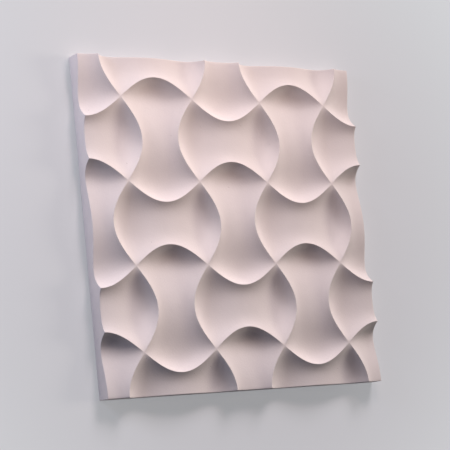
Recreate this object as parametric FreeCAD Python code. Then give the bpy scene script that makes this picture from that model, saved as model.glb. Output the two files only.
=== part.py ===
# A square wall panel cast in gypsum plaster, lying on its back with its relief upward.
#
# The relief is a net of sharp ridges, all at one height. They swing to and fro across the lines of a
# square grid and cross each other at right angles, so that every mesh of the net is shaped like a bone.
# The bones lie by turns along Y and along X. Inside each the plaster dips to a saddle at the middle
# and to a deeper bowl at either end. The panel's edges run through the middle of the outermost bones,
# so the net carries on across the joint from one panel to the next. The back is flat.
#
# The origin is at the middle of the back, +Z is the way that the relief faces, and sizes are in mm.
import FreeCAD, Part
import os
from math import comb

SIZES = (
    ("panel_side", 500, "side of the square panel"),
    ("cells_per_side", 4, "bones from one edge of the panel to the other"),
    ("ridge_height", 31.5, "from the back to the ridges"),
    ("saddle_height", 24.2, "from the back to the middle of a bone"),
    ("bowl_height", 15.4, "from the back to the bottom of a bowl"),
    ("bowl_offset", 66, "from the middle of a bone to the bottom of its bowl, along the bone"),
    ("ridge_swing", 31, "how far a ridge swings to either side of its grid line"),
    ("flank_depth", 5, "how much deeper a bone is cut towards its long sides, which steepens them"),
    ("corner_depth", 26, "how much deeper still it is cut towards its corners, which widens its bowls"),
)

# Polynomials are lists of coefficients, from the constant up. Their variable runs from -1 to 1
# across a bone.
CONSTANT = [1]
RISING = [0, 1]
SQUARE = [0, 0, 1]
# This one is 1 in the middle and 0 at both ridges.
FADING = [1, 0, -1]
# The swing of a ridge between two crossings, (1 - t^2)(5 - t^2) / 5. Its curvature is nil at the
# crossings, so the ridges run on smoothly through them.
SWINGING = [1, 0, -6 / 5, 0, 1 / 5]

ON_PLANE = 1e-6


def scaled(polynomial, factor):
    return [factor * coefficient for coefficient in polynomial]


def added(first, second):
    length = max(len(first), len(second))
    padded = [list(each) + [0] * (length - len(each)) for each in (first, second)]
    return [a + b for a, b in zip(*padded)]


def multiplied(first, second):
    product = [0] * (len(first) + len(second) - 1)
    for i, a in enumerate(first):
        for k, b in enumerate(second):
            product[i + k] += a * b
    return product


def control_values(polynomial, degree):
    """The values that a Bezier curve of this degree needs at its poles to follow the polynomial."""
    values = []
    for pole in range(degree + 1):
        value = 0
        for power, coefficient in enumerate(polynomial):
            signed_ways = sum(
                comb(pole, ups) * comb(degree - pole, power - ups) * (-1) ** (power - ups)
                for ups in range(power + 1)
            )
            value += coefficient * signed_ways / comb(degree, power)
        values.append(value)
    return values


def control_grid(terms, degree_across, degree_along):
    """Pole values of a sum of products, each of a polynomial across the bone and one along it."""
    grid = [[0] * (degree_along + 1) for _ in range(degree_across + 1)]
    for across, along in terms:
        values_across = control_values(across, degree_across)
        values_along = control_values(along, degree_along)
        for row, value in enumerate(values_across):
            for column, other in enumerate(values_along):
                grid[row][column] += value * other
    return grid


def depth_along(sizes):
    """How deep a bone is along its centre line, as the factor that FADING is multiplied by.

    It is a + b s + c s^2, where s is the square of the place along the bone. It is as deep as the
    saddle at the middle. At the bowl it is as deep as the bowl, and level there.
    """
    half_length = sizes["panel_side"] / sizes["cells_per_side"] / 2 + sizes["ridge_swing"]
    saddle_depth = sizes["ridge_height"] - sizes["saddle_height"]
    bowl_depth = sizes["ridge_height"] - sizes["bowl_height"]
    s = (sizes["bowl_offset"] / half_length) ** 2
    factor = bowl_depth / (1 - s)
    slope = factor / (1 - s)
    chord = (factor - saddle_depth) / s
    c = (slope - chord) / s
    b = chord - c * s
    return [saddle_depth, 0, b, 0, c]


def bone_poles(sizes):
    """Poles of one bone that lies along Y, with its middle at the origin: rows run along X."""
    half_cell = sizes["panel_side"] / sizes["cells_per_side"] / 2
    swing = sizes["ridge_swing"]
    half_width = added([half_cell], scaled(SWINGING, -swing))
    half_length = added([half_cell], scaled(SWINGING, swing))
    hollow = multiplied(FADING, depth_along(sizes))
    sides = multiplied(FADING, [sizes["flank_depth"], 0, 0, 0, sizes["corner_depth"]])
    x_terms = [(RISING, half_width)]
    y_terms = [(half_length, RISING)]
    z_terms = [
        (CONSTANT, [sizes["ridge_height"]]),
        (scaled(FADING, -1), hollow),
        (scaled(multiplied(FADING, SQUARE), -1), sides),
    ]
    degree_across = len(SWINGING) - 1
    degree_along = len(hollow) - 1
    grids = [control_grid(terms, degree_across, degree_along) for terms in (x_terms, y_terms, z_terms)]
    return [[FreeCAD.Vector(*pole) for pole in zip(*rows)] for rows in zip(*grids)]


def turned(poles):
    """The poles of the same bone lying along X."""
    return [[FreeCAD.Vector(pole.y, pole.x, pole.z) for pole in column] for column in zip(*poles)]


def bone_face(poles, middle, column, row, last):
    """One bone of the relief, cut at its centre lines where they are the panel's edges."""
    surface = Part.BezierSurface()
    surface.increase(len(poles) - 1, len(poles[0]) - 1)
    for i, pole_row in enumerate(poles):
        for k, pole in enumerate(pole_row):
            surface.setPole(i + 1, k + 1, middle + pole)
    starts = [0.5 if place == 0 else 0 for place in (column, row)]
    ends = [0.5 if place == last else 1 for place in (column, row)]
    surface.segment(starts[0], ends[0], starts[1], ends[1])
    return surface.toShape()


def relief_faces(sizes):
    cells = round(sizes["cells_per_side"])
    cell = sizes["panel_side"] / cells
    lengthwise = bone_poles(sizes)
    crosswise = turned(lengthwise)
    faces = []
    for column in range(cells + 1):
        for row in range(cells + 1):
            middle = FreeCAD.Vector((column - cells / 2) * cell, (row - cells / 2) * cell, 0)
            poles = lengthwise if (column + row) % 2 == 0 else crosswise
            faces.append(bone_face(poles, middle, column, row, cells))
    return faces


def edge_face(relief, corner, next_corner, height):
    """The flat edge of the panel between two corners of its back, closed above by the relief."""
    up = FreeCAD.Vector(0, 0, height)
    along = next_corner - corner
    outward = along.cross(up).normalize()
    outline = [
        edge
        for face in relief
        for edge in face.Edges
        if all(abs((vertex.Point - corner).dot(outward)) < ON_PLANE for vertex in edge.Vertexes)
    ]
    for start, end in (
        (corner, next_corner),
        (corner, corner + up),
        (next_corner, next_corner + up),
    ):
        outline.append(Part.LineSegment(start, end).toShape())
    return Part.Face(Part.Wire(Part.__sortEdges__(outline)))


def panel_solid(sizes):
    half = sizes["panel_side"] / 2
    signs = ((-1, -1), (1, -1), (1, 1), (-1, 1))
    corners = [FreeCAD.Vector(x * half, y * half, 0) for x, y in signs]
    relief = relief_faces(sizes)
    edges = [
        edge_face(relief, corner, next_corner, sizes["saddle_height"])
        for corner, next_corner in zip(corners, corners[1:] + corners[:1])
    ]
    back = Part.Face(Part.makePolygon(corners + corners[:1]))
    shell = Part.Shell(relief + edges + [back])
    shell.sewShape()
    solid = Part.Solid(shell)
    if solid.Volume < 0:
        solid.reverse()
    return solid


def check(document):
    """Stop if any object of the document is in error or has no sound shape."""
    for thing in document.Objects:
        if {"Invalid", "Error"} & set(thing.State):
            raise RuntimeError(f"{thing.Name} is in error: {thing.State}")
        if hasattr(thing, "Shape") and (thing.Shape.isNull() or not thing.Shape.isValid()):
            raise RuntimeError(f"{thing.Name} has no sound shape")


document = FreeCAD.newDocument("WallPanel")

sheet = document.addObject("Spreadsheet::Sheet", "Sizes")
for line, (alias, value, meaning) in enumerate(SIZES, 1):
    sheet.set(f"A{line}", meaning)
    sheet.set(f"B{line}", str(value))
    sheet.setAlias(f"B{line}", alias)
document.recompute()
sizes = {alias: float(getattr(sheet, alias)) for alias, _, _ in SIZES}

panel = document.addObject("Part::Feature", "WallPanel")
panel.Label = "wall_panel"
panel.Shape = panel_solid(sizes)
panel.Placement = FreeCAD.Placement()
document.recompute()
check(document)

os.makedirs("parts", exist_ok=True)
panel.Shape.exportStep(f"parts/{panel.Label}.step")
print(panel.Label, "has a volume of", round(panel.Shape.Volume), "mm3 and", len(panel.Shape.Faces), "faces")
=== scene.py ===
"""The looks of a square wall panel cast in gypsum plaster, lying on a pale studio floor.

Lengths are in metres and the frame is the part's own: the origin is in the middle of the panel's back,
+Z is the way that its relief faces. The panel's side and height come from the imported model. The
formula of the relief is that of the part's source, worked out on a grid of points.
"""

import logging
import math
from dataclasses import dataclass
from enum import Enum
from typing import Any

import bpy
import numpy as np
from mathutils import Matrix, Vector


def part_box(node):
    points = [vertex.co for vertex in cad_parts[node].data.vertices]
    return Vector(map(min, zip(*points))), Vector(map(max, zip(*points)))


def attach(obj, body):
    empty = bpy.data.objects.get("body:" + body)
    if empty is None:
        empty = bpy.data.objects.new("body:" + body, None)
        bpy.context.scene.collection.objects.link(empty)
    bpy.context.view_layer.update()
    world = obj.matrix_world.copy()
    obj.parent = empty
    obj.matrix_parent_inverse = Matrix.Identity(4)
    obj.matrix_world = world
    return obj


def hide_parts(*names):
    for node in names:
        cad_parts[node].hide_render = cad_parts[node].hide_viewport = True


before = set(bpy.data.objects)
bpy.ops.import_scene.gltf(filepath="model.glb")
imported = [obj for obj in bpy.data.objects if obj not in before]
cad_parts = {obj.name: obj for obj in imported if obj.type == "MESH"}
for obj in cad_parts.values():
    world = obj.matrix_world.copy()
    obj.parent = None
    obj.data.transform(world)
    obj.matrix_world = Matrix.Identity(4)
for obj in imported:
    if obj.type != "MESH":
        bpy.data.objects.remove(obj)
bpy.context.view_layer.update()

MM = 0.001
NODE = "wall_panel"

# A mix node's colour sockets go by number, because its sockets for plain numbers have the same names.
MIX_A = 6
MIX_B = 7
MIX_RESULT = 2

Triple = tuple[float, float, float]
Socket = bpy.types.NodeSocket
Tree = bpy.types.NodeTree

log = logging.getLogger("wall_panel")


def linear(hex_colour: str) -> tuple[float, float, float, float]:
    """Turn an sRGB colour such as "#E8DDD6" into linear light.

    Args:
        hex_colour: the colour as a hash sign and six hexadecimal digits.

    Returns:
        Red, green and blue in linear light from 0 to 1, and an alpha of 1.
    """
    values = [int(hex_colour[i : i + 2], 16) / 255 for i in (1, 3, 5)]
    red, green, blue = (c / 12.92 if c <= 0.04045 else ((c + 0.055) / 1.055) ** 2.4 for c in values)
    return red, green, blue, 1.0


def add_node(tree: Tree, kind: str, settings: dict[str, Any], inputs: dict[Any, Any]) -> bpy.types.Node:
    """Add one node to a tree.

    Args:
        tree: the tree that the node goes into.
        kind: the node's type, such as "ShaderNodeBump".
        settings: the node's own properties, by name.
        inputs: what goes into its sockets, by name or number: a plain value, or another node's output.

    Returns:
        The new node.
    """
    node = tree.nodes.new(kind)
    for name, value in settings.items():
        setattr(node, name, value)
    for name, value in inputs.items():
        if isinstance(value, Socket):
            tree.links.new(value, node.inputs[name])
        else:
            node.inputs[name].default_value = value
    return node


class Side(Enum):
    """The three ways in which the plaster's surface came about, in the order of the mesh's materials."""

    RELIEF = 0
    EDGE = 1
    BACK = 2


@dataclass(frozen=True)
class Unevenness:
    """Noise of one size, by which the surface rises and falls.

    Its detail is how many finer sizes are in it, and its roughness is how strong each of them is against
    the one before it.
    """

    size: Triple
    depth: float
    detail: float = 2.0
    roughness: float = 0.5

    def laid_over(self, tree: Tree, place: Socket, normal: Socket | None) -> Socket:
        """Lay this unevenness over the surface as a bump.

        Args:
            tree: the material's tree.
            place: the place on the object.
            normal: the surface's direction so far, or None for the mesh's own.

        Returns:
            The surface's direction with this bump on it.
        """
        scale = tuple(1 / length for length in self.size)
        stretched = add_node(tree, "ShaderNodeMapping", {}, {"Vector": place, "Scale": scale})
        inputs = {"Vector": stretched.outputs["Vector"], "Scale": 1.0}
        inputs |= {"Detail": self.detail, "Roughness": self.roughness}
        noise = add_node(tree, "ShaderNodeTexNoise", {}, inputs)
        inputs = {"Height": noise.outputs["Fac"], "Distance": self.depth, "Strength": 1.0}
        if normal is not None:
            inputs["Normal"] = normal
        return add_node(tree, "ShaderNodeBump", {}, inputs).outputs["Normal"]


@dataclass(frozen=True)
class Pinholes:
    """The pits that air bubbles leave where they were caught against the mould.

    One bubble sits at a random place in each cube of a lattice. Only those that the surface cuts show,
    which on this lattice is about one on each 55 x 55 mm. Their radius runs from nil to the one given.
    Their bottoms are painted darker. This is painted shade, standing in for the shade that falls into
    them.
    """

    radius: float = 0.9 * MM
    lattice: float = 14 * MM
    depth: float = 0.6 * MM
    # Painted shade: the darker colour painted into the pits' bottoms, where shade would fall.
    shade: str = "#A89A94"

    def laid_in(self, tree: Tree, place: Socket, tone: Socket, normal: Socket) -> tuple[Socket, Socket]:
        """Sink the pits into a surface and paint shade into their bottoms.

        Args:
            tree: the material's tree.
            place: the place on the object.
            tone: the surface's colour.
            normal: the surface's direction.

        Returns:
            The colour with painted shade in the pits, and the direction with the pits in them.
        """
        bubble = add_node(tree, "ShaderNodeTexVoronoi", {}, {"Vector": place, "Scale": 1 / self.lattice})
        luck = add_node(tree, "ShaderNodeSeparateColor", {}, {"Color": bubble.outputs["Color"]})
        size = {0: luck.outputs["Red"], 1: self.radius / self.lattice}
        reach = add_node(tree, "ShaderNodeMath", {"operation": "MULTIPLY"}, size)
        rise = add_node(
            tree,
            "ShaderNodeMapRange",
            {"interpolation_type": "SMOOTHSTEP"},
            {"Value": bubble.outputs["Distance"], "From Min": 0.0, "From Max": reach.outputs["Value"]},
        )
        # Painted shade: the colour turns towards the darker shade as the pit deepens.
        pit_painted_shade = add_node(
            tree,
            "ShaderNodeMix",
            {"data_type": "RGBA"},
            {"Factor": rise.outputs["Result"], MIX_A: linear(self.shade), MIX_B: tone},
        )
        inputs = {"Height": rise.outputs["Result"], "Distance": self.depth, "Normal": normal}
        pitted = add_node(tree, "ShaderNodeBump", {}, inputs | {"Strength": 1.0})
        return pit_painted_shade.outputs[MIX_RESULT], pitted.outputs["Normal"]


@dataclass(frozen=True)
class CastGypsum:
    """Gypsum plaster, cast and dried: matt, warm white, and a little mottled.

    Its gloss is how strongly it shines, and 0.5 is usual for its index of refraction. Here it is low,
    because the surface is a felt of fine crystals whose pores swallow most of the shine. The shade
    drifts by a few per cent from place to place.
    """

    name: str
    unevenness: tuple[Unevenness, ...]
    colour: str = "#F0E8E3"
    mottle: str = "#E3DAD5"
    mottle_size: float = 70 * MM
    mottle_detail: float = 4.0
    mottle_roughness: float = 0.6
    roughness: float = 0.86
    ior: float = 1.52
    gloss: float = 0.15
    pinholes: Pinholes = Pinholes()

    def material(self) -> bpy.types.Material:
        """Build the finish as a node material.

        Returns:
            The material, named for its finish.
        """
        material = bpy.data.materials.new(self.name)
        material.use_nodes = True
        tree = material.node_tree
        tree.nodes.clear()
        place = add_node(tree, "ShaderNodeTexCoord", {}, {}).outputs["Object"]
        inputs = {"Vector": place, "Scale": 1 / self.mottle_size}
        inputs |= {"Detail": self.mottle_detail, "Roughness": self.mottle_roughness}
        drift = add_node(tree, "ShaderNodeTexNoise", {}, inputs)
        inputs = {"Factor": drift.outputs["Fac"], MIX_A: linear(self.colour), MIX_B: linear(self.mottle)}
        tone = add_node(tree, "ShaderNodeMix", {"data_type": "RGBA"}, inputs).outputs[MIX_RESULT]
        normal = None
        for layer in self.unevenness:
            normal = layer.laid_over(tree, place, normal)
        tone, normal = self.pinholes.laid_in(tree, place, tone, normal)
        inputs = {"Base Color": tone, "Roughness": self.roughness, "IOR": self.ior, "Normal": normal}
        inputs |= {"Specular IOR Level": self.gloss}
        shader = add_node(tree, "ShaderNodeBsdfPrincipled", {}, inputs)
        add_node(tree, "ShaderNodeOutputMaterial", {}, {"Surface": shader.outputs["BSDF"]})
        return material


# Real gypsum's grain is about 0.1 mm, too fine to show from where the camera is. It is drawn as coarse
# as 3 mm, with five finer sizes in it.
GRAIN = Unevenness((3.0 * MM, 3.0 * MM, 3.0 * MM), 0.18 * MM, 5.0, 0.7)
# The mould's rubber gives a little under the wet plaster, which leaves slow swells on the cast face.
RUBBER_SWELL = Unevenness((16 * MM, 16 * MM, 16 * MM), 0.12 * MM, 1.0)
# The plaster was poured in, and its level rose along the frame in faint lines.
POUR_LINES = Unevenness((90 * MM, 90 * MM, 3 * MM), 0.2 * MM)
# A board was drawn along X over the full mould, and dragged the setting plaster into streaks.
BOARD_STREAKS = Unevenness((260 * MM, 3 * MM, 40 * MM), 0.4 * MM, 4.0)
# The back set in the open air, off any mould, and its grain is coarser.
COARSE_GRAIN = Unevenness((4 * MM, 4 * MM, 4 * MM), 0.3 * MM, 5.0, 0.7)

FINISHES = {
    Side.RELIEF: CastGypsum("gypsum_cast_in_rubber", (RUBBER_SWELL, GRAIN)),
    Side.EDGE: CastGypsum("gypsum_cast_at_frame", (POUR_LINES, GRAIN)),
    Side.BACK: CastGypsum(
        "gypsum_struck_off",
        (BOARD_STREAKS, COARSE_GRAIN),
        colour="#EBE2DD",
        mottle="#DBD1CC",
        mottle_size=45 * MM,
        roughness=0.95,
        pinholes=Pinholes(radius=0.9 * MM, lattice=9 * MM, depth=0.6 * MM),
    ),
}


def seen_directly(tree: Tree) -> Socket:
    """Tell the rays that show a thing to the camera from those that carry its light to other things.

    Args:
        tree: the tree of a floor's or a world's material.

    Returns:
        1 for camera, glossy and transmission rays, and 0 for the rest.
    """
    ray = add_node(tree, "ShaderNodeLightPath", {}, {}).outputs
    inputs = {0: ray["Is Camera Ray"], 1: ray["Is Glossy Ray"]}
    direct = add_node(tree, "ShaderNodeMath", {"operation": "ADD"}, inputs)
    inputs = {0: direct.outputs["Value"], 1: ray["Is Transmission Ray"]}
    either = add_node(tree, "ShaderNodeMath", {"operation": "ADD", "use_clamp": True}, inputs)
    return either.outputs["Value"]


@dataclass(frozen=True)
class BackdropPaper:
    """Matt paper on a studio floor, pale and without pattern.

    Close to the panel it is seen mostly as the lamps light it, and takes the panel's shadow. Further off
    it is seen more and more as an evenly pale distance, so that no end of it is left bright or dark. The
    distance's share grows from near_share, where the paper is near, to the whole, where it is far.
    """

    name: str = "matt_backdrop_paper"
    colour: str = "#D9DADC"
    distance_colour: str = "#D6D7DA"
    roughness: float = 0.95
    near: float = 0.25
    far: float = 0.8
    near_share: float = 0.4

    def material(self) -> bpy.types.Material:
        """Build the finish as a node material.

        Returns:
            The material, named for its finish.
        """
        material = bpy.data.materials.new(self.name)
        material.use_nodes = True
        tree = material.node_tree
        tree.nodes.clear()
        place = add_node(tree, "ShaderNodeTexCoord", {}, {}).outputs["Object"]
        away = add_node(tree, "ShaderNodeVectorMath", {"operation": "LENGTH"}, {0: place}).outputs["Value"]
        limits = {"Value": away, "From Min": self.near, "From Max": self.far, "To Min": self.near_share}
        fade = add_node(tree, "ShaderNodeMapRange", {"interpolation_type": "SMOOTHSTEP"}, limits)
        inputs = {0: fade.outputs["Result"], 1: seen_directly(tree)}
        faded = add_node(tree, "ShaderNodeMath", {"operation": "MULTIPLY"}, inputs).outputs["Value"]
        inputs = {"Base Color": linear(self.colour), "Roughness": self.roughness}
        paper = add_node(tree, "ShaderNodeBsdfPrincipled", {}, inputs).outputs["BSDF"]
        inputs = {"Color": linear(self.distance_colour), "Strength": 1.0}
        distance = add_node(tree, "ShaderNodeEmission", {}, inputs).outputs["Emission"]
        mixed = add_node(tree, "ShaderNodeMixShader", {}, {0: faded, 1: paper, 2: distance})
        add_node(tree, "ShaderNodeOutputMaterial", {}, {"Surface": mixed.outputs["Shader"]})
        return material


def swing(t: np.ndarray) -> np.ndarray:
    """How far a ridge has swung from its grid line between two crossings: (1 - t^2)(5 - t^2) / 5.

    Args:
        t: places between one crossing, at -1, and the next, at 1.

    Returns:
        The swing, 1 half way between the crossings and 0 at them.
    """
    return (1 - t * t) * (5 - t * t) / 5


@dataclass
class CastPanel:
    """The panel: its relief, the edges around it and the flat back, as one closed surface.

    Heights are above the back. The ridges are worn down by ridge_wear. The edges of the front and the
    back are rounded by the radius arris, and arris_margin is how far in from the sides the relief makes
    room for that.
    """

    low: Vector
    high: Vector
    cells: int = 4
    saddle_height: float = 24.2 * MM
    bowl_height: float = 15.4 * MM
    bowl_offset: float = 66 * MM
    ridge_swing: float = 31 * MM
    flank_depth: float = 5 * MM
    corner_depth: float = 26 * MM
    ridge_wear: float = 0.3 * MM
    arris: float = 0.6 * MM
    arris_margin: float = 10 * MM
    edge_inset: float = 0.6 * MM
    steps_per_bone: int = 64
    arris_steps: int = 4

    @property
    def half_side(self) -> float:
        """Half the panel's side."""
        return (self.high.x - self.low.x) / 2

    @property
    def half_cell(self) -> float:
        """Half the pitch of the pattern."""
        return self.half_side / self.cells

    def hollow(self, across: np.ndarray, along: np.ndarray) -> np.ndarray:
        """How deep a bone is below its ridges.

        It is (1 - u^2)(1 - v^2)(a + b v^2 + c v^4 + d u^2 + e u^2 v^4), for u across the bone and v
        along it. b and c are such that the bowl is as deep as it should be, and level at its bottom.

        Args:
            across: u, from -1 to 1.
            along: v, from -1 to 1.

        Returns:
            The depth, never negative.
        """
        a = self.high.z - self.saddle_height
        bowl = (self.bowl_offset / (self.half_cell + self.ridge_swing)) ** 2
        factor = (self.high.z - self.bowl_height) / (1 - bowl)
        chord = (factor - a) / bowl
        c = (factor / (1 - bowl) - chord) / bowl
        b = chord - c * bowl
        uu, vv = across * across, along * along
        middle = a + b * vv + c * vv * vv
        sides = self.flank_depth + self.corner_depth * vv * vv
        return (1 - uu) * (1 - vv) * (middle + sides * uu)

    def relief(self) -> np.ndarray:
        """The relief on a square grid that is straight in the bones' own measure.

        A grid line q runs through bone number round(q / 2), at u = sin(90 degrees times what is left
        over), so the lines crowd together at the ridges. A point is at x = half cell times (2 i + u),
        less or more u times the swing of the ridge there, and likewise for y. Ridges are worn round:
        the depth is the root of hollow squared plus wear squared, and the wear fades at the crossings.

        Returns:
            Points as an array of rows along X, columns along Y, and x, y and z.
        """
        q = np.linspace(-self.cells, self.cells, self.cells * self.steps_per_bone + 1)
        bone = np.round(q / 2)
        local = np.sin(np.pi / 2 * (q - 2 * bone))
        i, j = np.meshgrid(bone, bone, indexing="ij")
        u, v = np.meshgrid(local, local, indexing="ij")
        upright = (i + j) % 2 == 0
        reach = np.where(upright, self.ridge_swing, -self.ridge_swing)
        x = self.half_cell * (2 * i + u) - u * reach * swing(v)
        y = self.half_cell * (2 * j + v) + v * reach * swing(u)
        depth = self.hollow(np.where(upright, u, v), np.where(upright, v, u))
        wear = self.ridge_wear * (1 - u * u * v * v)
        z = self.high.z - np.sqrt(depth * depth + wear * wear)
        return np.stack([x, y, z], axis=-1)

    def rim(self, size: int) -> tuple[np.ndarray, np.ndarray]:
        """Walk once round the grid's outermost points, with extra stops at the corners for the arris.

        Args:
            size: how many points the grid has along each side.

        Returns:
            The points' numbers in the grid, and the outward direction at each, as x and y.
        """
        number = np.arange(size * size).reshape(size, size)
        sides = [number[:-1, 0], number[-1, :-1], number[:0:-1, -1], number[0, :0:-1]]
        numbers, headings = [], []
        for quarter, side in enumerate(sides):
            out = (quarter - 1) * np.pi / 2
            numbers.append(np.concatenate([np.full(self.arris_steps, side[0]), side]))
            headings.append(np.linspace(out - np.pi / 2, out, self.arris_steps + 1))
            headings.append(np.full(len(side) - 1, out))
        heading = np.concatenate(headings)
        return np.concatenate(numbers), np.stack([np.cos(heading), np.sin(heading)], axis=-1)

    def rings(self, start: np.ndarray, outward: np.ndarray) -> list[np.ndarray]:
        """The points between the rim and the back, ring by ring.

        From the rim a profile goes down round the panel: a quarter circle outward, the upright edge, and
        a quarter circle inward that ends on the back, straight below the rim. The upright edge has two
        rings of its own, at edge_inset from its ends, so that its shading is even in between.

        Args:
            start: the rim's own points.
            outward: the outward direction at each, as x and y.

        Returns:
            One array of points for each ring, from the top down.
        """
        turn = np.linspace(0, np.pi / 2, self.arris_steps + 1)
        level = np.full(len(start), self.low.z)
        inset = self.arris + self.edge_inset
        upper = [(np.sin(t), start[:, 2] - (1 - np.cos(t)) * self.arris) for t in turn[1:]]
        upright = [(1.0, start[:, 2] - inset), (1.0, level + inset)]
        lower = [(np.cos(t), level + (1 - np.sin(t)) * self.arris) for t in turn[:-1]]
        return [
            np.column_stack([start[:, :2] + outward * out * self.arris, height])
            for out, height in upper + upright + lower
        ]

    @staticmethod
    def skirt(rows: list[np.ndarray]) -> list[list[int]]:
        """Join each closed row of points to the next, with triangles where two stops share a point.

        Args:
            rows: the points' numbers in each row, from the top down.

        Returns:
            The faces, facing outward, as lists of points' numbers.
        """
        faces = []
        for upper, lower in zip(rows, rows[1:]):
            strip = np.stack([upper, lower, np.roll(lower, -1), np.roll(upper, -1)], axis=-1)
            one_above = strip[:, 0] == strip[:, 3]
            one_below = strip[:, 1] == strip[:, 2]
            faces += strip[~one_above & ~one_below].tolist()
            faces += strip[one_above, :3].tolist() + strip[one_below][:, [0, 1, 3]].tolist()
        return faces

    @staticmethod
    def fan(row: np.ndarray, middle: int) -> list[list[int]]:
        """Close the lowest row with triangles round a point in the middle of the back.

        Args:
            row: the points' numbers in the row.
            middle: the middle point's number.

        Returns:
            The faces, facing down, as lists of points' numbers.
        """
        following = np.roll(row, -1)
        triangles = np.stack([np.full(len(row), middle), following, row], axis=-1)
        return triangles[row != following].tolist()

    def surface(self) -> tuple[np.ndarray, dict[Side, list[list[int]]]]:
        """The whole closed surface.

        The relief's outermost points are drawn in by the arris, and those near them by less and less.

        Returns:
            Points, and for each side its faces as lists of their numbers.
        """
        grid = self.relief()
        nearness = np.clip((np.abs(grid[..., :2]) - self.half_side) / self.arris_margin + 1, 0, 1)
        grid[..., :2] -= np.sign(grid[..., :2]) * nearness**2 * self.arris
        size = len(grid)
        points = grid.reshape(-1, 3)
        number = np.arange(size * size).reshape(size, size)
        cells = np.stack([number[:-1, :-1], number[1:, :-1], number[1:, 1:], number[:-1, 1:]], axis=-1)
        rim, outward = self.rim(size)
        rings = self.rings(points[rim], outward)
        stops, stop_at = np.unique(rim, return_inverse=True)
        foot = np.column_stack([points[stops, :2], np.full(len(stops), self.low.z)])
        middle = np.array([[0.0, 0.0, self.low.z]])
        rows = [rim] + [len(points) + k * len(rim) + np.arange(len(rim)) for k in range(len(rings))]
        rows.append(rows[-1][-1] + 1 + stop_at)
        faces = {
            Side.RELIEF: cells.reshape(-1, 4).tolist(),
            Side.EDGE: self.skirt(rows),
            Side.BACK: self.fan(rows[-1], rows[-1].max() + 1),
        }
        return np.concatenate([points] + rings + [foot, middle]), faces

    def build(self) -> bpy.types.Object:
        """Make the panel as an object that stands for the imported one.

        Returns:
            The object, riding on the part's one body.
        """
        points, faces = self.surface()
        mesh = bpy.data.meshes.new("cast_panel")
        mesh.from_pydata(points.tolist(), [], [face for side in Side for face in faces[side]])
        for side in Side:
            mesh.materials.append(FINISHES[side].material())
        kinds = np.repeat([side.value for side in Side], [len(faces[side]) for side in Side])
        mesh.polygons.foreach_set("material_index", kinds)
        mesh.polygons.foreach_set("use_smooth", kinds != Side.BACK.value)
        mesh.update()
        panel = bpy.data.objects.new("cast_panel", mesh)
        bpy.context.scene.collection.objects.link(panel)
        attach(panel, "root")
        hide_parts(NODE)
        log.info("cast_panel: %d points, %d faces", len(points), len(kinds))
        return panel


@dataclass(frozen=True)
class Lamp:
    """A lamp that points at the origin.

    Its azimuth is counted from +X towards +Y, its elevation from the floor, and both are in degrees.
    """

    name: str
    azimuth: float
    elevation: float
    colour: str

    def hang(self, light: bpy.types.Light, distance: float) -> bpy.types.Object:
        """Hang the lamp.

        Args:
            light: the lamp's light.
            distance: how far from the origin it hangs.

        Returns:
            The lamp.
        """
        light.color = linear(self.colour)[:3]
        azimuth, elevation = math.radians(self.azimuth), math.radians(self.elevation)
        level = math.cos(elevation)
        towards = Vector((math.cos(azimuth) * level, math.sin(azimuth) * level, math.sin(elevation)))
        lamp = bpy.data.objects.new(self.name, light)
        lamp.location = towards * distance
        lamp.rotation_euler = (-towards).to_track_quat("-Z", "Y").to_euler()
        bpy.context.scene.collection.objects.link(lamp)
        log.info("%s: %s lamp, %g", self.name, light.type.lower(), light.energy)
        return lamp


@dataclass(frozen=True)
class SoftBox(Lamp):
    """A square lamp so near that its light falls off across the panel."""

    distance: float
    size: float
    watts: float

    def build(self) -> bpy.types.Object:
        """Make the light and hang it.

        Returns:
            The lamp.
        """
        light = bpy.data.lights.new(self.name, "AREA")
        light.size = self.size
        light.energy = self.watts
        return self.hang(light, self.distance)


@dataclass(frozen=True)
class FarLamp(Lamp):
    """A wide lamp so far off that its light is the same all over the panel.

    Its spread is how wide it looks from the panel, in degrees.
    """

    spread: float
    strength: float
    distance: float = 4.0

    def build(self) -> bpy.types.Object:
        """Make the light and hang it. Its distance makes no difference to its light.

        Returns:
            The lamp.
        """
        light = bpy.data.lights.new(self.name, "SUN")
        light.angle = math.radians(self.spread)
        light.energy = self.strength
        return self.hang(light, self.distance)


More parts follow.
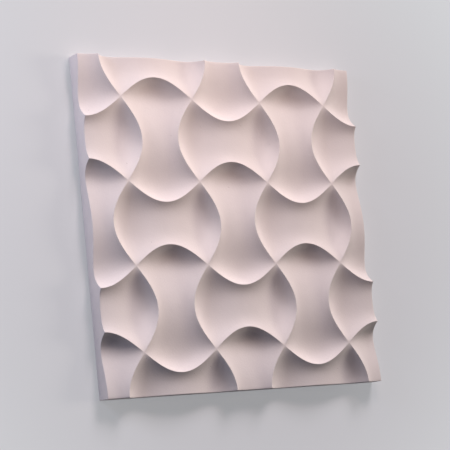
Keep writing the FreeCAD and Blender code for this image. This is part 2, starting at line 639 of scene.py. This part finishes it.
@dataclass
class Studio:
    """The floor, the lamps and the camera.

    The camera's lens is in millimetres. Its turn is in degrees about X, Y and Z, and taken about Y first,
    then X, then Z, it takes a direction from the panel's frame into the camera's.
    """

    floor_side: float = 12.0
    floor_gap: float = 0.05 * MM
    lens: float = 139.3
    camera_place: Triple = (-1.5192, -0.3714, 2.1273)
    camera_turn: Triple = (-8.139, 35.489, 5.775)
    air_colour: str = "#92B4FF"
    air_strength: float = 0.035
    paper: BackdropPaper = BackdropPaper()
    lamps: tuple[SoftBox | FarLamp, ...] = (
        FarLamp("key", 75, 30, "#FFF7FD", spread=22, strength=1.94),
        SoftBox("top_glow", 90, 53, "#FFE3DC", distance=0.75, size=0.225, watts=1.83),
        SoftBox("left_fill", 160, 16, "#E4E8FF", distance=1.2, size=0.36, watts=4.3),
        FarLamp("right_fill", 0, 20, "#FFF4E9", spread=15, strength=1.05),
    )

    def floor(self) -> bpy.types.Object:
        """Lay the floor, level with the panel's back.

        Returns:
            The floor.
        """
        half = self.floor_side / 2
        mesh = bpy.data.meshes.new("studio_floor")
        signs = ((-1, -1), (1, -1), (1, 1), (-1, 1))
        corners = [(x * half, y * half, -self.floor_gap) for x, y in signs]
        mesh.from_pydata(corners, [], [(0, 1, 2, 3)])
        mesh.materials.append(self.paper.material())
        floor = bpy.data.objects.new("studio_floor", mesh)
        bpy.context.scene.collection.objects.link(floor)
        return floor

    def camera(self) -> bpy.types.Object:
        """Set the camera where the photograph was taken from.

        Returns:
            The camera, which is the scene's own.
        """
        data = bpy.data.cameras.new("camera")
        data.lens = self.lens
        camera = bpy.data.objects.new("camera", data)
        rx, ry, rz = (math.radians(angle) for angle in self.camera_turn)
        turn = Matrix.Rotation(rz, 3, "Z") @ Matrix.Rotation(rx, 3, "X") @ Matrix.Rotation(ry, 3, "Y")
        camera.matrix_world = Matrix.Translation(self.camera_place) @ turn.transposed().to_4x4()
        bpy.context.scene.collection.objects.link(camera)
        bpy.context.scene.camera = camera
        return camera

    def air(self) -> bpy.types.World:
        """Light the room evenly and softly, and let it be seen as pale as the floor.

        Returns:
            The world, which is the scene's own.
        """
        world = bpy.data.worlds.new("studio_air")
        world.use_nodes = True
        tree = world.node_tree
        tree.nodes.clear()
        inputs = {"Color": linear(self.air_colour), "Strength": self.air_strength}
        light = add_node(tree, "ShaderNodeBackground", {}, inputs)
        inputs = {"Color": linear(self.paper.distance_colour), "Strength": 1.0}
        horizon = add_node(tree, "ShaderNodeBackground", {}, inputs)
        lit_and_seen = {1: light.outputs["Background"], 2: horizon.outputs["Background"]}
        mixed = add_node(tree, "ShaderNodeMixShader", {}, {0: seen_directly(tree)} | lit_and_seen)
        add_node(tree, "ShaderNodeOutputWorld", {}, {"Surface": mixed.outputs["Shader"]})
        bpy.context.scene.world = world
        return world

    def build(self) -> None:
        """Set up everything that isn't the object."""
        self.floor()
        self.camera()
        self.air()
        for lamp in self.lamps:
            lamp.build()
        bpy.context.scene.view_settings.view_transform = "Standard"


def main() -> None:
    """Build the studio and the panel."""
    logging.basicConfig(level=logging.INFO, format="%(name)s: %(message)s")
    Studio().build()
    low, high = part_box(NODE)
    CastPanel(low, high).build()


if __name__ == "__main__":
    main()
